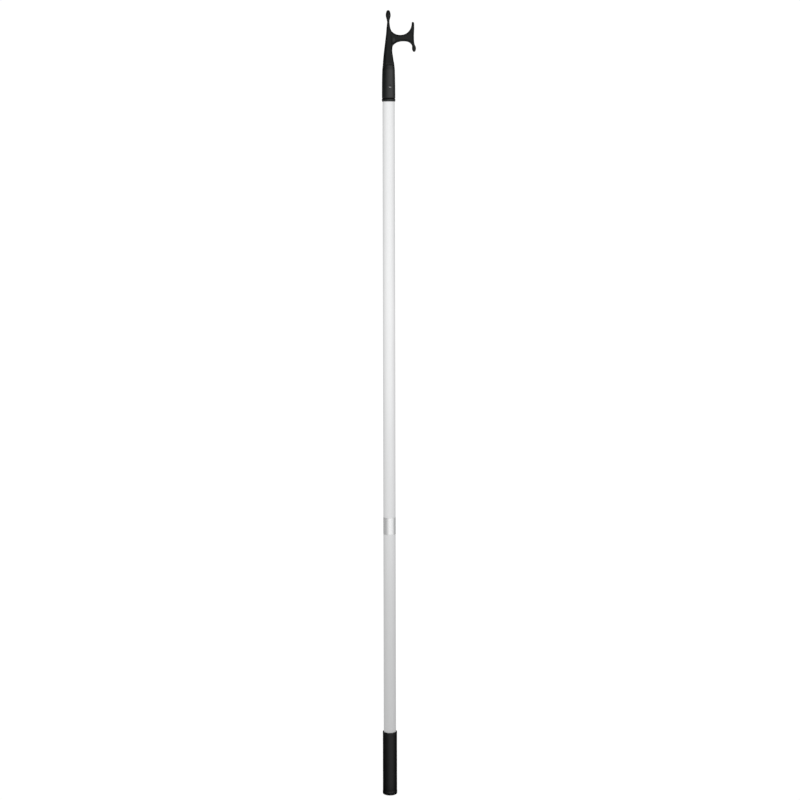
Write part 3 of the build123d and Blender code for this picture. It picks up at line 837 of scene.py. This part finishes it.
spot = fnode("ShaderNodeSeparateXYZ")
t.links.new(fnode("ShaderNodeNewGeometry").outputs["Position"], spot.inputs[0])
away = fmath("SQRT", fmath("ADD", fmath("MULTIPLY", spot.outputs["X"], spot.outputs["X"]), fmath("MULTIPLY", spot.outputs["Y"], spot.outputs["Y"])))
far = fmath("MULTIPLY", fmath("SUBTRACT", away, 0.45), 1 / 1.0, clamp=True)
near_level = fmath("MULTIPLY", fround(AZ_FLOOR), FLOOR_MIRROR)
far_level = fmath("MULTIPLY", fround(AZ_LOW), PANEL)
blend = fnode("ShaderNodeMix", data_type="FLOAT")
t.links.new(far, blend.inputs["Factor"])
t.links.new(near_level, blend.inputs["A"])
t.links.new(far_level, blend.inputs["B"])
mirrored = blend.outputs["Result"]
# the object's own shade round its foot
shade = fmath("MULTIPLY", fmath("SUBTRACT", away, 0.016), 1 / 0.05, clamp=True)
mirrored = fmath("MULTIPLY", mirrored, fmath("ADD", fmath("MULTIPLY", shade, 0.85), 0.15))
path = fnode("ShaderNodeLightPath")
pick = fnode("ShaderNodeMix", data_type="FLOAT")
t.links.new(path.outputs["Is Diffuse Ray"], pick.inputs["Factor"])
t.links.new(mirrored, pick.inputs["A"])
pick.inputs["B"].default_value = FLOOR_DIFFUSE
pick2 = fnode("ShaderNodeMix", data_type="FLOAT")
t.links.new(path.outputs["Is Camera Ray"], pick2.inputs["Factor"])
t.links.new(pick.outputs["Result"], pick2.inputs["A"])
t.links.new(seen, pick2.inputs["B"])
glow = fnode("ShaderNodeEmission")
glow.inputs["Color"].default_value = (1, 1, 1, 1)
t.links.new(pick2.outputs["Result"], glow.inputs["Strength"])
t.links.new(glow.outputs[0], out.inputs["Surface"])
fm.cycles.emission_sampling = "NONE"
floor.data.materials.append(fm)

# ------------------------------------------------------------------ studio light: one broad soft front panel that stays with the camera, dim sides, near-white backdrop
world = bpy.data.worlds.new("studio")
bpy.context.scene.world = world
world.use_nodes = True
t = world.node_tree
t.nodes.clear()


def wn(kind, **s):
    n = t.nodes.new(kind)
    for k, v in s.items():
        setattr(n, k, v)
    return n


def wmath(op, a, b=None, c=None, clamp=False):
    m = wn("ShaderNodeMath", operation=op, use_clamp=clamp)
    for i, v in enumerate((a, b, c)):
        if v is None:
            continue
        if isinstance(v, (int, float)):
            m.inputs[i].default_value = v
        else:
            t.links.new(v, m.inputs[i])
    return m.outputs[0]


def wramp(fac, lo, hi, stops):
    """A smooth curve of fac between lo and hi through (fac, value) stops."""
    r = wn("ShaderNodeValToRGB")
    r.color_ramp.interpolation = "EASE"
    while len(r.color_ramp.elements) < len(stops):
        r.color_ramp.elements.new(0.5)
    for e, (p, v) in zip(r.color_ramp.elements, stops):
        e.position = (p - lo) / (hi - lo)
        e.color = (v, v, v, 1)
    t.links.new(wmath("DIVIDE", wmath("SUBTRACT", fac, lo), hi - lo, clamp=True), r.inputs["Fac"])
    return r.outputs["Color"]




coord = wn("ShaderNodeTexCoord")
cam_dir = wn("ShaderNodeSeparateXYZ")
t.links.new(coord.outputs["Camera"], cam_dir.inputs[0])
row_dir = wn("ShaderNodeSeparateXYZ")
t.links.new(coord.outputs["Generated"], row_dir.inputs[0])
toward = wmath("MULTIPLY", cam_dir.outputs["Z"], -1.0)
az = wmath("MULTIPLY", wmath("ARCTAN2", cam_dir.outputs["X"], toward), 57.29578)
el = wmath("MULTIPLY", wmath("ARCSINE", row_dir.outputs["Z"]), 57.29578)
high = wn("ShaderNodeMapRange", interpolation_type="SMOOTHSTEP")
t.links.new(el, high.inputs["Value"])
high.inputs["From Min"].default_value, high.inputs["From Max"].default_value = -2.0, 2.5
round_it = wn("ShaderNodeMix", data_type="FLOAT")
t.links.new(high.outputs["Result"], round_it.inputs["Factor"])
t.links.new(wramp(az, -180, 180, AZ_LOW), round_it.inputs["A"])
t.links.new(wramp(az, -180, 180, AZ_HIGH), round_it.inputs["B"])
level = wmath("MULTIPLY", round_it.outputs["Result"], wramp(el, -90, 90, EL_STOPS))
level = wmath("MULTIPLY", level, PANEL)
path = wn("ShaderNodeLightPath")
soft = wn("ShaderNodeMix", data_type="FLOAT")
t.links.new(path.outputs["Is Diffuse Ray"], soft.inputs["Factor"])
t.links.new(level, soft.inputs["A"])
soft.inputs["B"].default_value = AMBIENT
mixv = wn("ShaderNodeMix", data_type="FLOAT")
t.links.new(path.outputs["Is Camera Ray"], mixv.inputs["Factor"])
t.links.new(soft.outputs["Result"], mixv.inputs["A"])
mixv.inputs["B"].default_value = BACKDROP
bg = wn("ShaderNodeBackground")
bg.inputs["Color"].default_value = (1, 1, 1, 1)
t.links.new(mixv.outputs["Result"], bg.inputs["Strength"])
world.cycles.sampling_method = "NONE"
wo = wn("ShaderNodeOutputWorld")
t.links.new(bg.outputs[0], wo.inputs["Surface"])

# ------------------------------------------------------------------ camera, at eye height with the picture shifted down to take in the pole
DIST, EYE, SIDE = 3.80, 1.45, 0.0259
cam_data = bpy.data.cameras.new("camera")
cam_data.sensor_width = 36.0
cam_data.lens = 74.38
cam = bpy.data.objects.new("camera", cam_data)
bpy.context.scene.collection.objects.link(cam)
cam.location = -FORWARD * DIST + RIGHT * SIDE + Vector((0, 0, EYE))
cam.rotation_mode = "QUATERNION"
cam.rotation_quaternion = FORWARD.to_track_quat("-Z", "Y") @ Quaternion((0, 0, 1), math.radians(-0.118))
cam_data.clip_start, cam_data.clip_end = 0.05, 200.0
bpy.context.scene.camera = cam
# the shift belongs to this eye height only: a camera moved elsewhere looks straight at the hook
shifted = cam_data.driver_add("shift_y")
shifted.driver.type = "AVERAGE"
height = shifted.driver.variables.new()
height.name, height.type = "z", "TRANSFORMS"
height.targets[0].id = cam
height.targets[0].transform_type = "LOC_Z"
height.targets[0].transform_space = "WORLD_SPACE"
for modifier in list(shifted.modifiers):
    shifted.modifiers.remove(modifier)
for z, shift in ((EYE - 0.05, 0.0), (EYE - 0.02, -0.29725), (EYE + 0.02, -0.29725), (EYE + 0.05, 0.0)):
    shifted.keyframe_points.insert(z, shift).interpolation = "LINEAR"

# ------------------------------------------------------------------ key light, a tall strip in front of the pole whose light fades towards the foot
key_data = bpy.data.lights.new("key_strip", "AREA")
key_data.shape, key_data.size, key_data.size_y, key_data.energy = "RECTANGLE", 0.80, 1.5, KEY_WATTS
key = bpy.data.objects.new("key_strip", key_data)
bpy.context.scene.collection.objects.link(key)
key.location = -FORWARD * 0.52 + RIGHT * 0.02 + Vector((0, 0, 1.35))
key.rotation_mode = "QUATERNION"
key.rotation_quaternion = (FORWARD - RIGHT * 0.03).to_track_quat("-Z", "Y")
key.visible_camera = False
key.visible_glossy = False
# the strip stays with the camera
bpy.context.view_layer.update()
key.parent = cam
key.matrix_parent_inverse = cam.matrix_world.inverted()
bpy.context.scene.view_settings.view_transform = "Standard"
bpy.context.scene.view_settings.look = "None"
